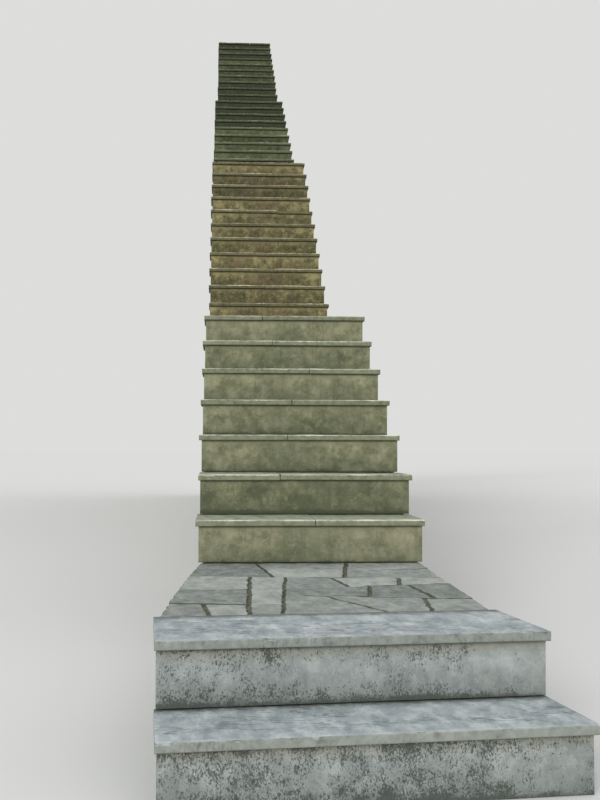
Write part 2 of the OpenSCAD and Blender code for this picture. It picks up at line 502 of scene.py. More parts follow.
# %% Lay one or more treads
STEP_RISE = 0.17
SINK = (0.0015, 0.0025)
TREAD_WEAR = (
    (LONG_WAVES, "Y", 0.004, "nosing"),
    (SHORT_WAVES, "Y", 0.0025, "nosing"),
    (CHIPS, "NORMAL", -0.006, "arris"),
    (HOLLOWS, "Z", -0.0022, "top"),
)


def lay_treads(name, boxes, column, chance, play=0.0, sinks={}, shades={}):
    """Lays the slabs of one or more treads as one piece. A tread may stand out of line by the play."""
    by_tread, blanks, laid = {}, {}, []
    for low, high in boxes:
        by_tread.setdefault(round(high.z, 3), []).append((low, high))
    for step, slabs in enumerate(by_tread.values(), 1):
        low, high = slabs[0][0], slabs[-1][1]
        depth = round(high.y - low.y, 4)
        if depth not in blanks:
            blanks[depth] = (blank_slab("blank", low, high, column), low.copy())
        blank, at = blanks[depth]
        aside, back = chance.uniform(-play, play), chance.uniform(0, play)
        for index, (slab_low, slab_high) in enumerate(slabs):
            slab = copy_of(blank, f"slab_{len(laid)}", low - at)
            if len(slabs) > 1:
                side = "left" if index == 0 else "right"
                saw(slab, slab_high.x if index == 0 else slab_low.x, side)
            sink = sinks.get((round(high.z / STEP_RISE), index), chance.uniform(*SINK))
            settle(slab, slab_low, slab_high, chance, (aside, back, -sink))
            # the shades darken the tone of some treads: painted shade
            give_tone(slab, chance, shades.get(step, 0.0))
            laid.append(slab)
    for blank, _ in blanks.values():
        bpy.data.objects.remove(blank)
    piece = join(laid, name)
    for texture, direction, strength, group in TREAD_WEAR:
        wear(piece, texture, direction, strength, group)
    edit(piece)
    bpy.ops.mesh.normals_make_consistent(inside=False)
    smooth(piece, 40)
    return piece


# %% Lay the lowest flight
FLIGHT_NAMES = {
    1: "lowest_flight",
    2: "second_flight",
    3: "third_flight",
    4: "fourth_flight",
    5: "fifth_flight",
}
TREAD_COLUMN = {1: 0.008, 2: 0.012, 3: 0.012, 4: 0.014, 5: 0.014}


def turn_to_flight(piece):
    """Turns a finished piece of the lowest flight about the origin, with its place in its mesh."""
    only(piece)
    piece.rotation_euler.z = TURN
    bpy.ops.object.transform_apply(location=True, rotation=True, scale=True)


treads = {}
for step in (1, 2):
    node, chance = f"flight_1_tread_{step}", random.Random(10 + step)
    piece = lay_treads(f"{FLIGHT_NAMES[1]}_slab_{step}", solids_in(node, TURN), TREAD_COLUMN[1], chance)
    turn_to_flight(piece)
    treads[node] = piece
    print(piece.name, len(piece.data.polygons), "faces")

# %% Lay the second to the fifth flight
PLAY = 0.003
DROPPED = {(17, 1): 0.008}  # one right-hand slab, of the 17th step, lies 8 mm low
# the upper treads of the fourth flight and all of the fifth get darker tones: painted shade
IN_DEEP_SHADE = {4: dict.fromkeys((7, 8, 9, 10), -1.3), 5: dict.fromkeys(range(1, 11), -1.4)}

for flight, steps in ((2, 7), (3, 12)):
    for step in range(1, steps + 1):
        node, name = f"flight_{flight}_tread_{step}", f"{FLIGHT_NAMES[flight]}_tread_{step}"
        chance = random.Random(100 * flight + step)
        treads[node] = lay_treads(name, solids_in(node), TREAD_COLUMN[flight], chance, PLAY, sinks=DROPPED)
    print(FLIGHT_NAMES[flight], "has", steps, "treads")

for flight, shades in IN_DEEP_SHADE.items():
    node, name = f"flight_{flight}_treads", f"{FLIGHT_NAMES[flight]}_treads"
    chance = random.Random(100 * flight)
    treads[node] = lay_treads(name, solids_in(node), TREAD_COLUMN[flight], chance, PLAY, shades=shades)
    print(name, len(treads[node].data.polygons), "faces")

# %% [markdown]
# ## Riser slabs
# A riser is a slab set on edge under the overhang. Only its front and its ends show. It is one blank for each
# flight, copied up the stair. Its face is a little uneven, because it was sawn roughly and has weathered.
# Each riser gets its own tone, a number that the finish reads, since no two came from the same block. In the
# fourth and fifth flights the tones also paint light and shade: the upper four of the fourth flight are much
# darker than the others as painted shade and two below them are paler as painted light, and most of the fifth
# flight is dark with painted shade.

# %% Set the risers
RISER_COLUMN = 0.02
RISER_ARRIS = 0.002
FACE_SKIN = 0.004
RISER_WEAR = ((LONG_WAVES, 0.0022), (SHORT_WAVES, 0.0008))


def blank_riser(name, low, high, column):
    """A riser slab with a slightly eased rim and columns fine enough to weather."""
    riser = block(name, low, high)
    edit(riser)
    cut_columns(riser, 0, column)
    cut_columns(riser, 2, column)
    for hidden in (facing(0, 1, 0), facing(0, 0, -1)):
        pick(riser, "faces", hidden)
        bpy.ops.mesh.dissolve_faces()
    pick(riser, "edges", front_rim(low.y))
    bpy.ops.mesh.bevel(offset=RISER_ARRIS, segments=2, profile=0.5, affect="EDGES")
    bpy.ops.object.mode_set(mode="OBJECT")
    weigh(riser, "face", lambda p: 1 if p.y < low.y + FACE_SKIN else 0)
    return riser


def set_risers(name, boxes, chance, tones, shade, longer):
    """Sets all the risers of a flight as one piece. Some have a known tone, the rest get one by chance."""
    low, high = boxes[0]
    more = Vector((longer, 0, 0))
    blank = blank_riser("blank", low - more, high + more, RISER_COLUMN)
    risers = []
    for number, (place, _) in enumerate(boxes, 1):
        riser = copy_of(blank, f"riser_{number}", place - low)
        give_tone(riser, chance, shade, known=tones.get(number))
        risers.append(riser)
    bpy.data.objects.remove(blank)
    piece = join(risers, name)
    for texture, strength in RISER_WEAR:
        wear(piece, texture, "Y", strength, "face")
    smooth(piece, 40)
    return piece


# %% Set them in every flight
LONGER = {1: 0.005}  # at each end, since the lowest treads hardly overhang their risers sideways
# the fifth flight's risers are darker around this shade: painted shade
SHADES = {5: -0.7}
# known tones; in the fourth and fifth flights the darker ones are painted shade and the paler ones painted
# light
TONES_WITH_PAINTED_SHADE_AND_LIGHT = {
    1: {1: -0.3, 2: 0.0},
    4: {3: 0.6, 4: 0.1, 5: -0.5, 6: 0.7, 7: -1.8, 8: -1.8, 9: -1.3, 10: -1.3},
    5: {1: -1.3, 2: -1.0, 7: 0.2, 8: -2.6, 10: -1.2},
}
risers = {}
for flight, name in FLIGHT_NAMES.items():
    boxes = solids_in(f"flight_{flight}_risers", TURN if flight == 1 else 0.0)
    known = TONES_WITH_PAINTED_SHADE_AND_LIGHT.get(flight, {}), SHADES.get(flight, 0.0), LONGER.get(flight, 0.0)
    piece = set_risers(f"{name}_risers", boxes, random.Random(50 + flight), *known)
    if flight == 1:
        turn_to_flight(piece)
    risers[flight] = piece
    print(piece.name, len(boxes), "risers,", len(piece.data.polygons), "faces")

# %% [markdown]
# ## Irregular paving
# The landings are paved with pieces of broken slab, laid like a puzzle with open joints. A mason splits a big
# stone in two, and the halves again. Here too: the landing starts as one flat sheet cut to its outline, and
# each split makes a copy and cuts both halves back by half a joint. The first landing shows in the
# photograph, so its splits follow the joints that can be seen there. The others are split by chance, mostly
# across the longer side, until no stone is too big.

# %% Cut a sheet to a landing's outline
SHEET_SIZE = 4.0


def plan_of(node):
    """The corners of a landing's outline, anticlockwise."""
    corners = {(round(v.co.x, 5), round(v.co.y, 5)) for v in frame["nodes"][node].data.vertices}
    centre = sum((Vector(c) for c in corners), Vector((0, 0))) / len(corners)
    around = sorted(corners, key=lambda c: math.atan2(c[1] - centre.y, c[0] - centre.x))
    return [Vector(c) for c in around]


def flat_sheet(name, corners, height, margin):
    """A flat sheet cut to an outline, held back from it by a margin."""
    centre = sum(corners, Vector((0, 0))) / len(corners)
    bpy.ops.object.select_all(action="DESELECT")
    bpy.ops.mesh.primitive_plane_add(size=SHEET_SIZE, location=(centre.x, centre.y, height))
    bpy.ops.object.transform_apply(location=True, rotation=True, scale=True)
    sheet = bpy.context.object
    sheet.name = sheet.data.name = name
    edit(sheet)
    for here, there in zip(corners, corners[1:] + corners[:1]):
        along = (there - here).normalized()
        outwards = Vector((along.y, -along.x, 0))
        place = Vector((here.x, here.y, 0)) - outwards * margin
        bpy.ops.mesh.select_all(action="SELECT")
        bpy.ops.mesh.bisect(plane_co=place, plane_no=outwards, clear_outer=True)
    bpy.ops.object.mode_set(mode="OBJECT")
    return sheet


outline = [(round(c.x, 2), round(c.y, 2)) for c in plan_of("landing_1_paving")]
print("corners of the first landing:", outline)

# %% Split a stone
def split(stone, here, there, joint):
    """Splits a stone along the line from here to there, and gives back the second half."""
    along = (Vector(there) - Vector(here)).normalized()
    across = Vector((along.y, -along.x, 0))
    other = copy_of(stone, stone.name + "b")
    for half, side in ((stone, 1), (other, -1)):
        edit(half)
        place = Vector((*here, 0)) + across * side * joint / 2
        bpy.ops.mesh.bisect(plane_co=place, plane_no=across, clear_inner=side > 0, clear_outer=side < 0)
        bpy.ops.object.mode_set(mode="OBJECT")
    return other


def holds(stone, point):
    """Whether a point of the plan lies on a stone."""
    rim = [stone.data.vertices[i].co.xy for i in stone.data.polygons[0].vertices]
    turns = [(b - a).cross(point - a) for a, b in zip(rim, rim[1:] + rim[:1])]
    return all(t > 0 for t in turns) or all(t < 0 for t in turns)


# %% Split along given joints
FIRST_LANDING_JOINTS = (
    ((-0.47, 1.34), (0.46, 1.25)),
    ((-0.25, 0.28), (-0.225, 1.31)),
    ((-0.48, 0.925), (-0.24, 0.947)),
    ((-0.50, 0.575), (-0.25, 0.545)),
    ((-0.365, 0.27), (-0.385, 0.56)),
    ((-0.155, 0.33), (-0.10, 1.29)),
    ((-0.24, 0.53), (-0.13, 0.552)),
    ((-0.11, 0.775), (0.46, 0.66)),
    ((0.00, 0.74), (0.15, 0.35)),
    ((0.27, 0.38), (0.30, 0.72)),
    ((-0.10, 0.92), (0.46, 1.10)),
    ((0.13, 0.70), (0.165, 1.02)),
    ((0.33, 0.68), (0.30, 1.08)),
    ((0.10, 0.98), (0.06, 1.29)),
    ((0.27, 1.04), (0.30, 1.27)),
    ((-0.14, 1.31), (-0.19, 1.82)),
    ((-0.43, 1.59), (-0.16, 1.545)),
    ((0.11, 1.28), (0.17, 1.82)),
    ((-0.17, 1.62), (0.14, 1.51)),
    ((0.15, 1.50), (0.47, 1.60)),
)
WIDE_JOINT = (0.006, 0.012)


def split_by_hand(sheet, joints, chance):
    """Splits a sheet along given joints, each across the stone that its middle lies on."""
    stones = [sheet]
    for here, there in joints:
        centre = (Vector(here) + Vector(there)) / 2
        stone = next(s for s in stones if holds(s, centre))
        stones.append(split(stone, here, there, chance.uniform(*WIDE_JOINT)))
    return stones


print("joints given for the first landing:", len(FIRST_LANDING_JOINTS))

# %% Split by chance
NARROW_JOINT = (0.003, 0.008)
BIGGEST_STONE = 0.05  # in square metres
SIZE_PLAY = (0.6, 1.3)
SPLIT_LEAN = 0.45
OFF_CENTRE = 0.1


def split_by_chance(sheet, chance):
    """Splits a sheet across its longer side again and again, until no stone is too big."""
    waiting, stones = [sheet], []
    while waiting:
        stone = waiting.pop()
        face = stone.data.polygons[0]
        if face.area < BIGGEST_STONE * chance.uniform(*SIZE_PLAY):
            stones.append(stone)
            continue
        size = stone.dimensions
        lean = chance.uniform(-SPLIT_LEAN, SPLIT_LEAN)
        along = Vector((lean, 1)) if size.x > size.y else Vector((1, lean))
        centre = face.center.xy + Vector((size.x, size.y)) * chance.uniform(-OFF_CENTRE, OFF_CENTRE)
        waiting += [stone, split(stone, centre, centre + along, chance.uniform(*NARROW_JOINT))]
        bpy.context.view_layer.update()
    return stones


# %% [markdown]
# Each stone then gets a rim that falls away, its own tilt and tone, and a surface as rough as a split slab.
# Two clouds push the points of all the stones sideways, so that their edges wander, but neighbours wander
# together and the joints keep their width. Under them lies the bed of soil and old mortar, which the rain has
# washed back a little from the edge.

# %% Cut, roughen and thicken a flat piece
EDGE_WANDER_X = cloud("edge_wander_x", 0.07, depth=3)
EDGE_WANDER_Y = cloud("edge_wander_y", 0.062, depth=3)
EDGE_WANDER = 0.014
CLEFT = cloud("cleft", 0.045, contrast=1.8, depth=4)
CRUMBS = cloud("crumbs", 0.02, contrast=1.5, depth=3)
print("the edges wander by up to", round(EDGE_WANDER / 2 * 1000), "mm")


def cut_squares(piece, corners, spacing):
    """Cuts a flat piece into squares, so that its surface can be roughened."""
    for axis in (0, 1):
        start, stop = min(c[axis] for c in corners), max(c[axis] for c in corners)
        for line in range(1, int((stop - start) / spacing) + 1):
            place, normal = [0.0, 0.0, 0.0], [0.0, 0.0, 0.0]
            place[axis], normal[axis] = start + line * spacing, 1.0
            bpy.ops.mesh.select_all(action="SELECT")
            bpy.ops.mesh.bisect(plane_co=place, plane_no=normal)


def thicken(piece, bottom):
    """Gives a flat piece its thickness, down to a level underside of one face per stone."""
    edit(piece)
    top = max(v.co.z for v in piece.data.vertices)
    bpy.ops.mesh.extrude_region_move(TRANSFORM_OT_translate={"value": (0, 0, bottom - top)})
    bpy.ops.transform.resize(value=(1, 1, 0), center_override=(0, 0, bottom))
    bpy.ops.mesh.dissolve_faces()
    bpy.ops.mesh.select_all(action="SELECT")
    bpy.ops.mesh.normals_make_consistent(inside=False)
    smooth(piece, 38)


# %% Pave the landings
BELOW_TOP = 0.002  # the paving stands this much lower than the exact landing, and its stones sink further
HELD_BACK, BED_HELD_BACK = 0.006, 0.014
RIM_WIDTH, RIM_FALL = 0.005, 0.004
STONE_TILT, STONE_SINK = 0.35, 0.003
STONE_DEPTH, BED_DEPTH = 0.03, 0.010
STONE_SQUARE, BED_SQUARE = 0.022, 0.03


def pave(name, node, chance, joints=None):
    """Paves a landing: gives back its stones and the bed that they lie in."""
    corners, (low, high) = plan_of(node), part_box(node)
    sheet = flat_sheet(name + "_stones", corners, high.z - RIM_FALL - BELOW_TOP, HELD_BACK)
    bpy.context.view_layer.update()
    stones = split_by_hand(sheet, joints, chance) if joints else split_by_chance(sheet, chance)
    for stone in stones:
        edit(stone)
        bpy.ops.mesh.inset(thickness=RIM_WIDTH, depth=RIM_FALL)
        bpy.ops.mesh.select_all(action="SELECT")
        tilt(stone.data.polygons[0].center, STONE_TILT, STONE_TILT, chance)
        bpy.ops.transform.translate(value=(0, 0, -chance.uniform(0.0, STONE_SINK)))
        bpy.ops.object.mode_set(mode="OBJECT")
        give_tone(stone, chance)
        inner = set(max(stone.data.polygons, key=lambda f: f.area).vertices)
        rim = stone.data.attributes.new("rim", "FLOAT", "POINT")
        rim.data.foreach_set("value", [0.0 if v.index in inner else 1.0 for v in stone.data.vertices])
    count = len(stones)
    paving = join(stones, name + "_stones")
    edit(paving)
    cut_squares(paving, corners, STONE_SQUARE)
    wear(paving, EDGE_WANDER_X, "X", EDGE_WANDER, centred=True)
    wear(paving, EDGE_WANDER_Y, "Y", EDGE_WANDER, centred=True)
    wear(paving, CLEFT, "Z", -0.004)
    thicken(paving, high.z - STONE_DEPTH)

    bed = flat_sheet(name + "_bed", corners, high.z - BED_DEPTH, BED_HELD_BACK)
    edit(bed)
    cut_squares(bed, corners, BED_SQUARE)
    wear(bed, CRUMBS, "Z", -0.005)
    thicken(bed, low.z)
    print(paving.name, count, "stones,", len(paving.data.polygons), "faces")
    return paving, bed


LANDINGS = {"landing_1": "first", "landing_2": "second", "landing_3": "third", "top_landing": "top"}
paving = {}
for seed, (landing, name) in enumerate(LANDINGS.items(), 3):
    joints = FIRST_LANDING_JOINTS if name == "first" else None
    paving[f"{landing}_paving"] = pave(f"{name}_landing", f"{landing}_paving", random.Random(seed), joints)

# %% [markdown]
# ## The rubble walls
# The mass under the steps is masonry, and its flanks and its upper end can be seen. A mason builds such a
# wall from rough stones, two hand widths long, that are bedded in mortar and brought level at every step, so
# that a tread rests on a flat course. Drawing stones on a flat wall would be quicker, but their shadows would
# be missing. So a few stones are modelled, and copies of them are laid one by one, each with its own length,
# height, depth and lean. Behind them stands the mortar: the exact masonry of the frame, with its outer faces
# set back.

# %% Model some rough stones
BLANK_SIZE = Vector((0.24, 0.11, 0.1))
STONE_RIM = 0.012
HEWN = 0.0045


def rough_stone(seed):
    """A stone that looks towards -Y, with a rim that falls away and corners that are nowhere true."""
    stone = block(f"rough_stone_{seed}", -BLANK_SIZE / 2, BLANK_SIZE / 2)
    edit(stone)
    cut_columns(stone, 0, BLANK_SIZE.x / 4)
    cut_columns(stone, 2, BLANK_SIZE.z / 2)
    pick(stone, "faces", facing(0, 1, 0))
    bpy.ops.mesh.dissolve_faces()
    pick(stone, "edges", front_rim(-BLANK_SIZE.y / 2))
    bpy.ops.mesh.bevel(offset=STONE_RIM, segments=1, affect="EDGES")
    pick(stone, "verts", lambda v: v.co.y < 0)
    bpy.ops.transform.vertex_random(offset=HEWN, uniform=1.0, normal=0.0, seed=seed)
    smooth(stone, 50)
    return stone


rough_stones = [rough_stone(seed) for seed in range(1, 13)]
print("rough stones:", len(rough_stones), "with", len(rough_stones[0].data.polygons), "faces each")

# %% [markdown]
# The wall is laid in bands one step high. A band is filled from its front end with stretches of two kinds: a
# single tall stone, or two low courses whose upright joints don't meet. The band starts where the steps leave
# room for it. Each stone leaves half a joint around it.

# %% Lay out a band of stones
WALL_JOINT = 0.012
LOWEST_COURSE = 0.05
TALL_SHARE = 0.35
TALL_LENGTH, PAIRS_LENGTH = (0.16, 0.32), (0.38, 0.7)
ROOM_FOR_PAIRS = 0.3
ROOM_FOR_ONE_MORE = 0.14
LONGEST_STRETCH, LONGEST_TALL = 0.75, 0.4
COURSE_SHARE, EARLY_CUT, LATE_CUT = (0.42, 0.58), (0.3, 0.45), (0.55, 0.7)
FILLED = 1e-6


def fill_band(start, stop, low, high, chance):
    """The outlines (start, stop, low, high) of the stones that fill a band."""
    outlines, at = [], start
    while stop - at > FILLED:
        rest = stop - at
        tall = chance.random() < TALL_SHARE or high - low < 2 * LOWEST_COURSE or rest < ROOM_FOR_PAIRS
        length = chance.uniform(*(TALL_LENGTH if tall else PAIRS_LENGTH))
        if rest - length < ROOM_FOR_ONE_MORE:
            length = rest if rest < LONGEST_STRETCH else rest / 2
        if tall and length < LONGEST_TALL:
            outlines.append((at, at + length, low, high))
        else:
            level = low + (high - low) * chance.uniform(*COURSE_SHARE)
            cuts = [chance.uniform(*EARLY_CUT), chance.uniform(*LATE_CUT)]
            if chance.random() < 0.5:
                cuts.reverse()
            for split_at, bottom, top in ((cuts[0], low, level), (cuts[1], level, high)):
                cut = at + length * split_at
                outlines += [(at, cut, bottom, top), (cut, at + length, bottom, top)]
        at += length
    return outlines


print("stones in a band 3 m long:", len(fill_band(0, 3, 0, STEP_RISE, random.Random(1))))

# %% [markdown]
# A stone is a copy of a blank, stretched to its outline and turned to look out of the wall. When all are
# laid, two clouds push their points up and down and along the wall, so that no outline stays square while the
# joints keep their width. Near the ends and the foot that push fades out. Wherever two faces meet in a
# corner, the bands are held back by turns, so that the corner stones are bonded: long on one face, short on
# the other.

# %% Lay one stone
FACE_SET_BACK = 0.008
SET_BACK_PLAY = 0.007
STONE_LEAN = 0.8
print("a stone lies up to", round((FACE_SET_BACK + SET_BACK_PLAY) * 1000), "mm behind the face")


def lay_stone(outline, start, along, inwards, chance):
    """Lays a copy of a rough stone in its outline on the face that starts at a point of the plan."""
    left, right, bottom, above = outline
    stone = copy_of(chance.choice(rough_stones), "stone")
    stretch = ((right - left - WALL_JOINT) / BLANK_SIZE.x, 1, (above - bottom - WALL_JOINT) / BLANK_SIZE.z)
    lean = Matrix.Rotation(math.radians(chance.uniform(-STONE_LEAN, STONE_LEAN)), 3, "Z")
    turn = Matrix(((inwards.y, -inwards.x, 0), (*inwards, 0), (0, 0, 1))).transposed()
    on_line = start + along * (left + right) / 2
    on_line += inwards * (FACE_SET_BACK + BLANK_SIZE.y / 2 + chance.uniform(0.0, SET_BACK_PLAY))
    place = Matrix.Translation((*on_line, (bottom + above) / 2))
    stone.data.transform(place @ (turn @ lean @ Matrix.Diagonal(stretch)).to_4x4())
    give_tone(stone, chance)
    return stone


# %% Lay a wall
TREAD_THICKNESS = 0.026
END_GAP = 0.003  # keeps the rough end of a wall inside its own size
WALL_WANDER_UP = cloud("wall_wander_up", 0.11)
WALL_WANDER_ALONG = cloud("wall_wander_along", 0.13)
WALL_WANDER = 0.05
FADES_OVER = 0.1
LEVEL_SLACK = 0.03


def lay_wall(name, start, stop, inwards, levels, chance, held_back):
    """Lays the stones of one face, over the line from start to stop, under the levels of its top."""
    along, length = (stop - start).normalized(), (stop - start).length - END_GAP
    top = levels[-1][0]
    beds = [0.0]
    while beds[-1] < top - FILLED:
        beds.append(min(len(beds) * STEP_RISE - TREAD_THICKNESS, top))
    laid = []
    for band, (low, high) in enumerate(zip(beds, beds[1:])):
        first = next(far for height, far in levels if height > high - LEVEL_SLACK)
        less_at_start, less_at_stop = held_back(band)
        for outline in fill_band(first + less_at_start, length - less_at_stop, low, high, chance):
            laid.append(lay_stone(outline, start, along, inwards, chance))
    wall = join(laid, name)
    weigh(wall, "loose", lambda p: min((p.xy - start).dot(along), (stop - p.xy).dot(along), p.z) / FADES_OVER)
    wear(wall, WALL_WANDER_UP, "Z", WALL_WANDER, "loose", centred=True)
    sideways = "Y" if abs(along.y) > abs(along.x) else "X"
    wear(wall, WALL_WANDER_ALONG, sideways, WALL_WANDER, "loose", centred=True)
    print(name, len(laid), "stones,", len(wall.data.polygons), "faces")
    return wall


# %% [markdown]
# The frame tells where the walls go. Every core has two flanks, and each flank has a line in the plan and
# levels that start further and further along it. The last core, under the top landing, also shows its end.

# %% Read a core's flanks
def flank_of(node, side):
    """The line of a core's left (-1) or right (1) flank, and its levels: each height and where it starts."""
    points = [v.co for v in frame["nodes"][node].data.vertices]
    centre = sum(p.x for p in points) / len(points)
    flank = [p for p in points if (p.x - centre) * side > 0]
    start, stop = min(flank, key=lambda p: p.y).xy, max(flank, key=lambda p: p.y).xy
    starts = {}
    for point in points:
        far = max((point.xy - start).dot((stop - start).normalized()), 0.0)
        height = round(point.z, 4)
        starts[height] = min(starts.get(height, far), far)
    return start, stop, sorted((height, far) for height, far in starts.items() if height > 0)


lowest = [(height, round(far, 3)) for height, far in flank_of("flight_1_core", -1)[2]]
print("levels of the lowest flank, and where each starts:", lowest)

# %% Set the mortar back
MORTAR_SET_BACK = 0.024
FLAT_WITHIN = 0.01


def mortar_of(node, name, shows_end):
    """The masonry of the frame with its outer faces set back, as the bed of the stones."""
    bed = copy_of(frame["nodes"][node], name)
    edit(bed)
    bpy.ops.mesh.remove_doubles(threshold=SAME_PLACE)
    bpy.ops.mesh.dissolve_limited(angle_limit=FLAT_WITHIN)
    for outwards in ((-1, 0, 0), (1, 0, 0), (0, 1, 0))[: 3 if shows_end else 2]:
        pick(bed, "faces", facing(*outwards))
        bpy.ops.transform.translate(value=Vector(outwards) * -MORTAR_SET_BACK)
    bpy.ops.object.mode_set(mode="OBJECT")
    return bed


# %% Bond the corners
CORNER = BLANK_SIZE.y + FACE_SET_BACK


def not_at_all(band):
    """A flank that runs on into the next core isn't held back."""
    return 0.0, 0.0


def flank_by_turns(band):
    """At the upper end, every second band of a flank leaves room for the corner stone of the end wall."""
    return 0.0, CORNER * (band % 2)


def end_by_turns(band):
    """The end wall leaves room for the flanks' corner stones in the other bands, on both sides."""
    return CORNER * (1 - band % 2), CORNER * (1 - band % 2)


print("a corner stone takes", round(CORNER * 1000), "mm of the other face")

# %% Build the masonry of every flight and landing
MASONRY_NAMES = {
    "flight_1_core": "lowest_flight",
    "landing_1_core": "first_landing",
    "flight_2_core": "second_flight",
    "landing_2_core": "second_landing",
    "flight_3_core": "third_flight",
    "landing_3_core": "third_landing",
    "flight_4_core": "fourth_flight",
    "flight_5_core": "fifth_flight",
    "top_landing_core": "top_landing",
}

masonry = {}
for number, (node, name) in enumerate(MASONRY_NAMES.items()):
    chance = random.Random(700 + number)
    shows_end = node == "top_landing_core"
    walls, corners = [], []
    for side in (-1, 1):
        start, stop, levels = flank_of(node, side)
        along = (stop - start).normalized()
        inwards = Vector((along.y, -along.x)) * -side
        held_back = flank_by_turns if shows_end else not_at_all
        walls.append(lay_wall(f"{name}_flank", start, stop, inwards, levels, chance, held_back))
        corners.append(stop)
    if shows_end:
        walls.append(lay_wall(f"{name}_end", *corners, Vector((0, -1)), levels, chance, end_by_turns))
    masonry[node] = (join(walls, f"{name}_rubble"), mortar_of(node, f"{name}_mortar", shows_end))
for stone in rough_stones:
    bpy.data.objects.remove(stone)

# %% [markdown]
# ## The slanted left end
# The lowest flight isn't cut square. Its nosings are turned by seven degrees, but its left end is turned by
# less than half of that, so seen from the foot of the stair the ends of both steps stand on one upright line.
# The engineering model has square ends. So the left end of each piece there is pushed aside, in front to the
# left and behind to the right, by up to 26 mm. The push fades out towards the middle of the step, and along
# the first landing, so that neighbours still meet.

# %% Slant the left end
END_SLANT = math.tan(math.radians(3.7))
STILL_AT = -0.0745  # the depth at which the end keeps its place, just in front of the second riser
GIVING_WAY = 0.28  # from the left end, this far inwards, the push fades out

edge_slab_low, edge_slab_high = solids_in("flight_1_tread_2", TURN)[0]
to_flight = Matrix.Rotation(-TURN, 3, "Z")
to_stair = Matrix.Rotation(TURN, 3, "Z")
landing_end = max((to_flight @ v.co).y for v in frame["nodes"]["landing_1_core"].data.vertices if v.co.x < 0)


def push_at(depth):
    """How far the left end is pushed to the right at a depth in the lowest flight's own directions."""
    on_flight = END_SLANT * (min(depth, edge_slab_high.y) - STILL_AT)
    beyond = (depth - edge_slab_high.y) / (landing_end - edge_slab_high.y)
    return on_flight * (1 - min(max(beyond, 0.0), 1.0))


def slant(piece):
    """Pushes the left end of a finished piece aside."""
    most = 0.0
    for vertex in piece.data.vertices:
        place = to_flight @ vertex.co
        share = min(max(1 - (place.x - edge_slab_low.x) / GIVING_WAY, 0.0), 1.0)
        push = share * push_at(place.y)
        vertex.co = to_stair @ (place + Vector((push, 0, 0)))
        most = max(most, abs(push))
    print(piece.name, "pushed by up to", round(most * 1000), "mm")


# %% Slant every piece at that end
slanted = [treads["flight_1_tread_1"], treads["flight_1_tread_2"], risers[1], *paving["landing_1_paving"]]
slanted += [*masonry["flight_1_core"], *masonry["landing_1_core"]]
for piece in slanted:
    slant(piece)

# %% [markdown]
# ## Finishes
# All the stones are calcareous: marble, limestone and their broken offcuts. They are matt, with a roughness
# near 0.8, and an ordinary IOR of 1.5. What tells them apart is their veins, their stains and the lichen
# on them. The patterns read object coordinates in metres, so each table below gives the size of its features
# in millimetres, and the scale is worked out from that. A finish is built as the weather builds it: first the
# stone, then one stain over the other. A stain is a row of a table: what it reads, two values of that, how
# much of the stain lies there at each of the two, from 0 to 1, and its colour.

# %% Begin a finish
MILLIMETRES = 1000


def begin(name):
    """A new material with an empty tree, and the object coordinates that its patterns read."""
    material = bpy.data.materials.new(name)
    material.use_nodes = True
    tree = material.node_tree
    tree.nodes.clear()
    return material, tree, add(tree, "TexCoord", output="Object")


def clouds_of(where, size, detail, rough=0.5):
    """The settings of a cloud pattern: its coordinates, the size of its features in mm, detail, roughness."""
    return {"Vector": where, "Scale": MILLIMETRES / size, "Detail": detail, "Roughness": rough}


print("a pattern with features of 50 mm has the scale", clouds_of(None, 50, 0)["Scale"])

# %% Colour, weather and close a finish
STONE_IOR = 1.5
AS_IT_IS = (0.0, 1.0, 0.0, 1.0)  # for a stain that reads a share which is worked out already


def three_tones(tree, patches, strength, deep, body, pale, spread=0.16):
    """The stone's own colours by its patches, with the tone of each slab, and that tone itself."""
    tone = add(tree, "Attribute", {}, output="Fac", attribute_name="tone")
    toned = add(tree, "Math", {0: tone, 1: strength, 2: patches}, operation="MULTIPLY_ADD")
    stops = [(0.5 - spread, deep), (0.5 + spread, pale), (0.5, body)]
    return add(tree, "ValToRGB", {"Fac": toned}, stops=stops), tone


def weather(tree, colour, stains):
    """A colour with stains laid over it, one after the other."""
    for reads, low, high, at_low, at_high, stain in stains:
        limits = {"From Min": low, "From Max": high, "To Min": at_low, "To Max": at_high}
        share = add(tree, "MapRange", {"Value": reads} | limits)
        colour = add(tree, "Mix", {"Factor": share, "A": colour, "B": stain}, data_type="RGBA")
    return colour


def close(tree, colour, roughness, height, depth):
    """The stone shader: a matt dielectric with relief of a real depth in metres."""
    normal = add(tree, "Bump", {"Height": height, "Distance": depth, "Strength": 1.0})
    shader = add(tree, "BsdfPrincipled", {"Base Color": colour, "Roughness": roughness, "Normal": normal})
    shader.node.inputs["IOR"].default_value = STONE_IOR
    add(tree, "OutputMaterial", {"Surface": shader})


def height_in_step(tree, place):
    """How high a point lies in its step: 0 at the foot of the riser, about 0.85 under the nosing."""
    z = add(tree, "SeparateXYZ", {"Vector": place}, output="Z")
    steps = add(tree, "Math", {0: z, 1: STEP_RISE}, operation="DIVIDE")
    return add(tree, "Math", {0: steps}, operation="FRACT")
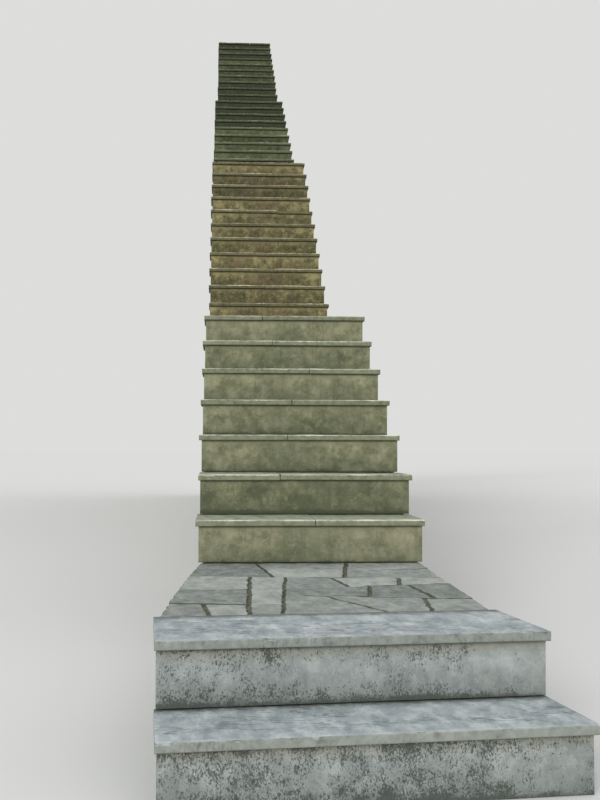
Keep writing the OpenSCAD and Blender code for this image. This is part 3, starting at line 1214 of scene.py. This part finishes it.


# %% [markdown]
# ### Veined marble
# The two lowest treads are a bluish-grey marble, sawn and once polished, now dull from the weather. Its veins
# run along the slab as fine wavy lines, so the noise that makes them is stretched along it. A vein is where
# a noise crosses its middle value: the distance from that value is turned into a thin line. The top grows
# darker towards the riser behind, and the front edge is a little yellower, with short dark marks of lichen.
# Faces that look down are dark: painted shade, with some dirt. The arris is pale, partly worn by feet and
# partly a painted highlight. The other treads share the recipe, with hardly a vein.

# %% One recipe for the treads
def tread_finish(
    name, pale, body, deep, vein, worn_and_highlit, edge_pale, edge_body, mark, dirt_and_painted_shade, turn=0.0, veins=0.2, highlight_and_wear=0.95
):
    """A weathered tread slab: tones, veins, arris of wear and painted highlight, front edge, dirt and painted
    shade.
    """
    material, tree, place = begin(name)
    mottling = add(tree, "Mapping", {"Vector": place, "Scale": (1, 0.4, 1)})
    along = add(tree, "Mapping", {"Vector": place, "Rotation": (0, 0, 0.5 - turn), "Scale": (0.3, 1, 1)})
    tall = add(tree, "Mapping", {"Vector": place, "Scale": (1, 1, 0.3)})
    clouds = {
        "patches": (mottling, 50, 8, 0.7),
        "veined": (along, 100, 3),
        "marks": (mottling, 8, 4, 0.7),
        "ragged": (place, 25, 5, 0.65),
        "hairs": (tall, 6.5, 3, 0.65),
        "clusters": (place, 120, 3),
        "trodden": (place, 220, 2),
        "grain": (place, 4, 5, 0.7),
    }
    noise = {name: add(tree, "TexNoise", clouds_of(*row)) for name, row in clouds.items()}
    colour, tone = three_tones(tree, noise["patches"], 0.1, deep, body, pale)

    fine = add(tree, "TexNoise", clouds_of(along, 45, 5) | {"Distortion": 0.8})
    line = add(tree, "Math", {0: fine, 1: 0.5}, operation="SUBTRACT")
    line = add(tree, "Math", {0: line}, operation="ABSOLUTE")
    line = add(tree, "MapRange", {"Value": line, "From Max": 0.03, "To Min": veins, "To Max": 0.0})
    where = add(tree, "MapRange", {"Value": noise["veined"], "From Min": 0.45, "From Max": 0.55})
    line = add(tree, "Math", {0: line, 1: where}, operation="MULTIPLY")
    spots = {"Value": noise["marks"], "From Min": 0.6, "From Max": 0.72, "To Max": 0.55}
    spots = add(tree, "MapRange", spots)
    back = add(tree, "Attribute", {}, output="Fac", attribute_name="towards_riser")
    # the top grows darker towards the riser behind
    darker_towards_riser = add(tree, "Math", {0: noise["ragged"], 1: 0.3, 2: back}, operation="MULTIPLY_ADD")

    blend = add(tree, "Math", {0: tone, 1: 0.15, 2: noise["ragged"]}, operation="MULTIPLY_ADD")
    stops = [(0.2, mark), (0.65, edge_pale), (0.4, edge_body)]
    edge_colour = add(tree, "ValToRGB", {"Fac": blend}, stops=stops)
    hairs = add(tree, "Math", {0: noise["clusters"], 1: 0.9, 2: noise["hairs"]}, operation="MULTIPLY_ADD")
    up = add(tree, "SeparateXYZ", {"Vector": add(tree, "NewGeometry", output="Normal")}, output="Z")
    # faces that look down take the dark colour: painted shade under the nosing, with some dirt
    stains = ((hairs, 1.08, 1.24, 0.0, 0.5, mark), (up, -0.9, -0.3, 0.85, 0.0, dirt_and_painted_shade))
    edge_colour = weather(tree, edge_colour, stains)

    # a pale line along the top arris: partly wear, partly a painted highlight, patchy along the stair and
    # dimmer where the tone is dark
    high = height_in_step(tree, place)
    high = add(tree, "Math", {0: noise["ragged"], 1: 0.05, 2: high}, operation="MULTIPLY_ADD")
    high = add(tree, "MapRange", {"Value": high, "From Min": 0.975, "From Max": 0.995, "To Max": highlight_and_wear})
    trodden = add(tree, "Math", {0: tone, 1: 0.1, 2: noise["trodden"]}, operation="MULTIPLY_ADD")
    trodden = add(tree, "MapRange", {"Value": trodden, "From Min": 0.42, "From Max": 0.58, "To Min": 0.3})
    high = add(tree, "Math", {0: high, 1: trodden}, operation="MULTIPLY")
    front = {"Value": back, "From Min": 0.02, "From Max": 0.07, "To Min": 1.0, "To Max": 0.0}
    worn_and_highlit_line = add(tree, "Math", {0: high, 1: add(tree, "MapRange", front)}, operation="MULTIPLY")
    stains = (
        (line, *AS_IT_IS, vein),
        (spots, *AS_IT_IS, mark),
        (darker_towards_riser, 1.03, 1.17, 0.0, 0.85, dirt_and_painted_shade),
        (up, 0.5, 0.85, 1.0, 0.0, edge_colour),
        (worn_and_highlit_line, *AS_IT_IS, worn_and_highlit),
    )
    colour = weather(tree, colour, stains)

    relief = add(tree, "Math", {0: noise["patches"], 1: 0.6, 2: noise["grain"]}, operation="MULTIPLY_ADD")
    relief = add(tree, "Math", {0: relief, 1: spots}, operation="SUBTRACT")
    roughness = add(tree, "MapRange", {"Value": noise["patches"], "To Min": 0.62, "To Max": 0.85})
    close(tree, colour, roughness, relief, 0.0012)
    return material


# %% The marble
marble = tread_finish(
    "weathered_veined_marble",
    pale="#d5dddf", body="#b2bcbf", deep="#8d999e", vein="#4d585d", worn_and_highlit="#c6ccc9",
    edge_pale="#949a93", edge_body="#81877f", mark="#4c524d", dirt_and_painted_shade="#5c6259",
    turn=TURN, veins=0.7, highlight_and_wear=0.35,
)
print("marble nodes:", len(marble.node_tree.nodes))

# %% [markdown]
# ### The limestone treads
# Higher up the slabs are a plain limestone. Damp and years have stained them: grey-green in the second
# flight, ochre in the third, olive above that. The ochre and olive slabs are also darker than the stone, as
# painted shade.

# %% The other treads
limestone = tread_finish(
    "grey_green_limestone",
    pale="#b0b5a2", body="#989e89", deep="#7d8470", vein="#6b7462", worn_and_highlit="#e2e6d3",
    edge_pale="#85876f", edge_body="#6f745c", mark="#4b503a", dirt_and_painted_shade="#3c4430",
)
# the ochre and olive treads are darker than the stone would be: painted shade over the real stain
ochre_limestone = tread_finish(
    "ochre_stained_limestone",
    pale="#aaa384", body="#8f8867", deep="#706c4a", vein="#65603f", worn_and_highlit="#e9e1bf",
    edge_pale="#6b6546", edge_body="#545236", mark="#37371f", dirt_and_painted_shade="#2b2a17",
)
olive_limestone = tread_finish(
    "olive_stained_limestone",
    pale="#8c8d7a", body="#747663", deep="#5d604d", vein="#53563f", worn_and_highlit="#babea0",
    edge_pale="#555c3f", edge_body="#454e33", mark="#2b331f", dirt_and_painted_shade="#20271a",
)
print("tread finishes:", marble.name, limestone.name, ochre_limestone.name, olive_limestone.name)

# %% [markdown]
# ### The riser stones
# Risers never dry as fast as treads, so lichen and soot stay on them. On the lowest two it grows as short
# dark strokes three millimetres wide, crowded at the foot and under the nosing, and thinner towards the right
# end. They are drawn a little coarser than that, so that they show. Under the nosing runs an uneven band: on
# the lowest risers an olive stain, on the others a paler colour, painted light that offsets the overhang's
# shade. Rain leaves upright streaks. The lower half is darker, with a dark line where the riser stands on the
# tread: dirt, and painted shade.

# %% One recipe for the risers
MIDDLE_OF_STAIR = 0.028


def riser_finish(
    name, pale, body, deep, band, speck, foot,
    specks=0.45, streaks=0.35, blotches=0.0, blotch="#6f5f4a", crusts=0.0, banded=0.55,
):
    """A weathered riser: tones, a band under the nosing of stain and painted light, lichen, a foot of dirt
    and painted shade.
    """
    material, tree, place = begin(name)
    level = height_in_step(tree, place)
    x = add(tree, "SeparateXYZ", {"Vector": place}, output="X")
    tall = add(tree, "Mapping", {"Vector": place, "Scale": (1, 1, 0.1)})
    clouds = {
        "patches": (place, 70, 8, 0.72),
        "wide": (place, 160, 7, 0.7),
        "bloom": (place, 30, 6, 0.75),
        "runs": (tall, 28, 4, 0.6),
        "crowd": (place, 50, 5, 0.7),
        "zones": (place, 240, 2),
        "grain": (place, 4, 5, 0.7),
    }
    noise = {name: add(tree, "TexNoise", clouds_of(*row)) for name, row in clouds.items()}
    patches, wide = noise["patches"], noise["wide"]
    colour, tone = three_tones(tree, patches, 0.14, deep, body, pale)

    aside = add(tree, "Math", {0: x, 1: MIDDLE_OF_STAIR}, operation="SUBTRACT")
    aside = add(tree, "Math", {0: aside}, operation="ABSOLUTE")
    walked = add(tree, "Math", {0: aside, 1: -0.35, 2: wide}, operation="MULTIPLY_ADD")
    bloom = {"Value": noise["bloom"], "From Min": 0.53, "From Max": 0.64, "To Max": 0.55}
    bloom = add(tree, "MapRange", bloom)
    crust = add(tree, "TexNoise", clouds_of(place, 55, 7, 0.72) | {"W": 3.0}, noise_dimensions="4D")
    # the lower half darkens towards the foot colour: dirt and painted shade
    low_half = add(tree, "Math", {0: wide, 1: -0.6, 2: level}, operation="MULTIPLY_ADD")
    # a band under the nosing: a stain, and where its colour is paler than the body, painted light against the
    # overhang's shade
    under = add(tree, "Math", {0: patches, 1: 0.22, 2: level}, operation="MULTIPLY_ADD")

    low_down = {"Value": level, "From Min": 0.0, "From Max": 0.3, "To Min": 0.13, "To Max": 0.0}
    low_down = add(tree, "MapRange", low_down)
    crowd = add(tree, "Math", {0: noise["crowd"], 1: 0.6, 2: low_down}, operation="MULTIPLY_ADD")
    crowd = add(tree, "Math", {0: noise["zones"], 1: 0.25, 2: crowd}, operation="MULTIPLY_ADD")
    crowd = add(tree, "Math", {0: tone, 1: -0.22, 2: crowd}, operation="MULTIPLY_ADD")
    shaded = {"Value": level, "From Min": 0.5, "From Max": 0.8, "To Max": 0.05}
    washed = {"Value": x, "From Min": 0.15, "From Max": 0.5, "To Min": 0.07, "To Max": -0.05}
    for change in (shaded, washed):
        crowd = add(tree, "Math", {0: crowd, 1: add(tree, "MapRange", change)}, operation="ADD")
    upright = add(tree, "Mapping", {"Vector": place, "Scale": (1, 1, 0.6)})
    strokes = add(tree, "TexNoise", clouds_of(upright, 4, 4, 0.75) | {"Distortion": 0.6})
    strokes = add(tree, "Math", {0: strokes, 1: crowd}, operation="ADD")
    strokes = add(tree, "MapRange", {"Value": strokes, "From Min": 1.08, "From Max": 1.175, "To Max": specks})
    bent = add(tree, "Mix", {"Factor": 0.12, "A": place, "B": wide.node.outputs["Color"]}, data_type="VECTOR")
    cracks = add(tree, "TexVoronoi", {"Vector": bent, "Scale": MILLIMETRES / 130}, feature="DISTANCE_TO_EDGE")
    cracks = add(tree, "MapRange", {"Value": cracks, "From Max": 0.012, "To Min": 1.0, "To Max": 0.0})
    cracks = add(tree, "Math", {0: cracks, 1: bloom}, operation="MULTIPLY")
    # a dark line where the riser stands on the tread: dirt and painted shade
    dirt_and_painted_shade = add(tree, "Math", {0: crowd, 1: -0.4, 2: level}, operation="MULTIPLY_ADD")
    stains = (
        (walked, 0.4, 0.5, 0.0, blotches, blotch),
        (bloom, *AS_IT_IS, pale),
        (crust, 0.57, 0.63, 0.0, crusts, foot),
        (noise["runs"], 0.5, 0.72, 0.0, streaks, foot),
        (low_half, -0.3, 0.45, 0.5, 0.0, foot),
        (under, 0.72, 0.98, 0.0, banded, band),
        (strokes, *AS_IT_IS, speck),
        (cracks, *AS_IT_IS, speck),
        (dirt_and_painted_shade, -0.21, -0.14, 0.85, 0.0, foot),
    )
    colour = weather(tree, colour, stains)

    relief = add(tree, "Math", {0: patches, 1: 1.2, 2: noise["grain"]}, operation="MULTIPLY_ADD")
    relief = add(tree, "Math", {0: strokes, 1: -0.5, 2: relief}, operation="MULTIPLY_ADD")
    roughness = add(tree, "MapRange", {"Value": patches, "To Min": 0.78, "To Max": 0.95})
    close(tree, colour, roughness, relief, 0.0016)
    return material


# %% The four riser stones
grey_riser = riser_finish(
    "lichened_grey_stone",
    pale="#b8bebb", body="#a0a6a3", deep="#878e8c", band="#858167", speck="#3a403c", foot="#565c55",
    specks=0.85, streaks=0.2, banded=0.8,
)
beige_riser = riser_finish(
    "damp_beige_stone",
    pale="#a29f82", body="#7e7f62", deep="#5a5e45", band="#8a8b6e", speck="#454b36", foot="#434b35",
    specks=0.35, streaks=0.3, blotches=0.4, blotch="#6c7257", crusts=0.3,
)
# the ochre and olive risers are darker than the stone would be: painted shade over the real stain
ochre_riser = riser_finish(
    "ochre_stained_stone",
    pale="#a3996c", body="#65623f", deep="#373a1f", band="#938c65", speck="#2f311b", foot="#2c2e17",
    blotches=0.65, blotch="#64533f", crusts=0.55,
)
olive_riser = riser_finish(
    "olive_stained_stone",
    pale="#6c7250", body="#4f563a", deep="#2b341d", band="#5a603f", speck="#232b18", foot="#1f2713",
    blotches=0.45, blotch="#433f2c", crusts=0.55,
)
print("riser finishes:", grey_riser.name, beige_riser.name, ochre_riser.name, olive_riser.name)

# %% [markdown]
# ### Paving stones and their bed
# The paving is made from offcuts of the same grey stone, split rather than sawn, so its surface catches the
# light unevenly. Each stone reads its own tone, and its rim is dark from the soil in the joints. The landings
# are stained too, the more the higher they lie. The bed is dark: soil and crumbled mortar.

# %% Paving finishes
def paving_finish():
    """Split grey stone."""
    material, tree, place = begin("split_grey_paving_stone")
    cleft = add(tree, "Mapping", {"Vector": place, "Scale": (1, 0.5, 1)})
    clouds = {"patches": (cleft, 40, 8, 0.75), "film": (place, 35, 5, 0.7), "grain": (place, 5, 5, 0.7)}
    noise = {name: add(tree, "TexNoise", clouds_of(*row)) for name, row in clouds.items()}
    colour, _ = three_tones(tree, noise["patches"], 0.25, "#737c78", "#999f9a", "#bcc1bb", spread=0.2)
    z = add(tree, "SeparateXYZ", {"Vector": place}, output="Z")
    rim = add(tree, "Attribute", {}, output="Fac", attribute_name="rim")
    rim = add(tree, "Math", {0: noise["patches"], 1: 0.8, 2: rim}, operation="MULTIPLY_ADD")
    stains = (
        (z, 0.4, 3.5, 0.0, 0.65, "#6c6a4e"),
        (noise["film"], 0.6, 0.72, 0.0, 0.5, "#666d58"),
        (rim, 0.55, 0.95, 0.0, 0.85, "#484c3c"),
    )
    colour = weather(tree, colour, stains)
    relief = add(tree, "Math", {0: noise["patches"], 1: 2.0, 2: noise["grain"]}, operation="MULTIPLY_ADD")
    close(tree, colour, 0.88, relief, 0.002)
    return material


def bed_finish():
    """Soil and crumbled mortar."""
    material, tree, place = begin("soil_and_old_mortar")
    lumps = add(tree, "TexNoise", clouds_of(place, 20, 6, 0.7))
    stops = [(0.35, "#54563f"), (0.65, "#85876d"), (0.5, "#6b6d54")]
    colour = add(tree, "ValToRGB", {"Fac": lumps}, stops=stops)
    close(tree, colour, 0.95, lumps, 0.004)
    return material


paving_stone, soil = paving_finish(), bed_finish()
print("paving finishes:", paving_stone.name, soil.name)

# %% [markdown]
# ### The masonry
# Rubble stone and mortar share one recipe. Each stone reads its own tone, and has pale spots of lichen and
# dark pits two fingers wide. Rain that runs off the ends of the treads draws dark streaks down the wall. So
# the finish has to know how far a point lies below the steps: a curve holds the height of the stair at each
# place along it, and the point's own height is taken from that. The foot of the wall is green from splashes.

# %% The stair's own line
length, height = cad_high.y - cad_low.y, cad_high.z
line = []
for flight in FLIGHT_NAMES:
    boxes = solids_in(f"flight_{flight}_risers")
    for low, high in (boxes[0], boxes[-1]):
        line.append(((low.y - cad_low.y) / length, (high.z + TREAD_THICKNESS) / height))
profile = [(0.0, line[0][1]), (1.0, 1.0)] + line
print("stair line:", [(round(a, 3), round(b, 3)) for a, b in line])

# %% Rubble and mortar
STREAK_COLOUR, DAMP_COLOUR = "#484b3e", "#5f6656"


def wall_finish(name, deep, body, pale, tinge, relief_depth):
    """Stones or mortar, with streaks that start under the treads."""
    material, tree, place = begin(name)
    y = add(tree, "SeparateXYZ", {"Vector": place}, output="Y")
    z = add(tree, "SeparateXYZ", {"Vector": place}, output="Z")
    share = add(tree, "MapRange", {"Value": y, "From Min": cad_low.y, "From Max": cad_low.y + length})
    top = add(tree, "FloatCurve", {"Value": share}, points=profile)
    top = add(tree, "Math", {0: top, 1: height}, operation="MULTIPLY")
    below = add(tree, "Math", {0: top, 1: z}, operation="SUBTRACT")
    tall = add(tree, "Mapping", {"Vector": place, "Scale": (1, 1, 0.06)})
    clouds = {
        "patches": (place, 60, 8, 0.7),
        "spots": (place, 22, 6, 0.75),
        "broad": (place, 500, 7, 0.65),
        "runs": (tall, 110, 6, 0.62),
        "grain": (place, 9, 5, 0.7),
    }
    noise = {name: add(tree, "TexNoise", clouds_of(*row)) for name, row in clouds.items()}
    patches, spots, broad = noise["patches"], noise["spots"], noise["broad"]
    colour, _ = three_tones(tree, patches, 0.34, deep, body, pale, spread=0.2)
    runs = add(tree, "MapRange", {"Value": noise["runs"], "From Min": 0.42, "From Max": 0.66})
    fade = {"Value": below, "From Min": 0.1, "From Max": 1.5, "To Min": 0.65, "To Max": 0.05}
    runs = add(tree, "Math", {0: runs, 1: add(tree, "MapRange", fade)}, operation="MULTIPLY")
    damp = add(tree, "Math", {0: broad, 1: -0.9, 2: z}, operation="MULTIPLY_ADD")
    stains = (
        (spots, 0.56, 0.63, 0.0, 0.5, pale),
        (spots, 0.44, 0.37, 0.0, 0.55, deep),
        (broad, 0.48, 0.66, 0.0, 0.5, tinge),
        (runs, *AS_IT_IS, STREAK_COLOUR),
        (damp, -0.35, 0.3, 0.6, 0.0, DAMP_COLOUR),
    )
    colour = weather(tree, colour, stains)
    relief = add(tree, "Math", {0: patches, 1: 2.0, 2: noise["grain"]}, operation="MULTIPLY_ADD")
    close(tree, colour, 0.92, relief, relief_depth)
    return material


rubble = wall_finish("weathered_rubble_stone", "#5f625a", "#8b8c82", "#b4b5a9", "#857c5f", 0.004)
mortar = wall_finish("old_lime_mortar", "#5f5b4b", "#7b7663", "#938e7a", "#69634d", 0.003)
print("wall finishes:", rubble.name, mortar.name)

# %% [markdown]
# ## Give every piece its finish and its place
# Each new piece gets its finish, rides on the one body, and hides the nodes of the frame that it stands for.
# Two pieces stand for a paving or a core: its stones and what they are bedded in.

# %% Dress the frame
def dress(piece, finish, slot, *nodes):
    """Finish, body and the nodes that a piece stands for; the slot is not used."""
    piece.data.materials.clear()
    piece.data.materials.append(finish)
    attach(piece, "root")
    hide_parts(*nodes)


KINDS = {
    1: (marble, "marble_tread", grey_riser, "grey_riser"),
    2: (limestone, "limestone_tread", beige_riser, "beige_riser"),
    3: (ochre_limestone, "ochre_tread", ochre_riser, "ochre_riser"),
    4: (olive_limestone, "olive_tread", olive_riser, "olive_riser"),
    5: (olive_limestone, "olive_tread", olive_riser, "olive_riser"),
}
for node, piece in treads.items():
    flight = int(node.split("_")[1])
    dress(piece, *KINDS[flight][:2], node)
for flight, piece in risers.items():
    dress(piece, *KINDS[flight][2:], f"flight_{flight}_risers")
for node, (stones, bed) in paving.items():
    dress(stones, paving_stone, "paving", node)
    dress(bed, soil, "paving", node)
for node, (stones, bed) in masonry.items():
    dress(stones, rubble, "masonry", node)
    dress(bed, mortar, "masonry", node)
print("pieces dressed:", len(treads) + len(risers) + 2 * len(paving) + 2 * len(masonry))

# %% [markdown]
# ## The end
# Nothing is left selected.

# %% Deselect everything
bpy.ops.object.select_all(action="DESELECT")
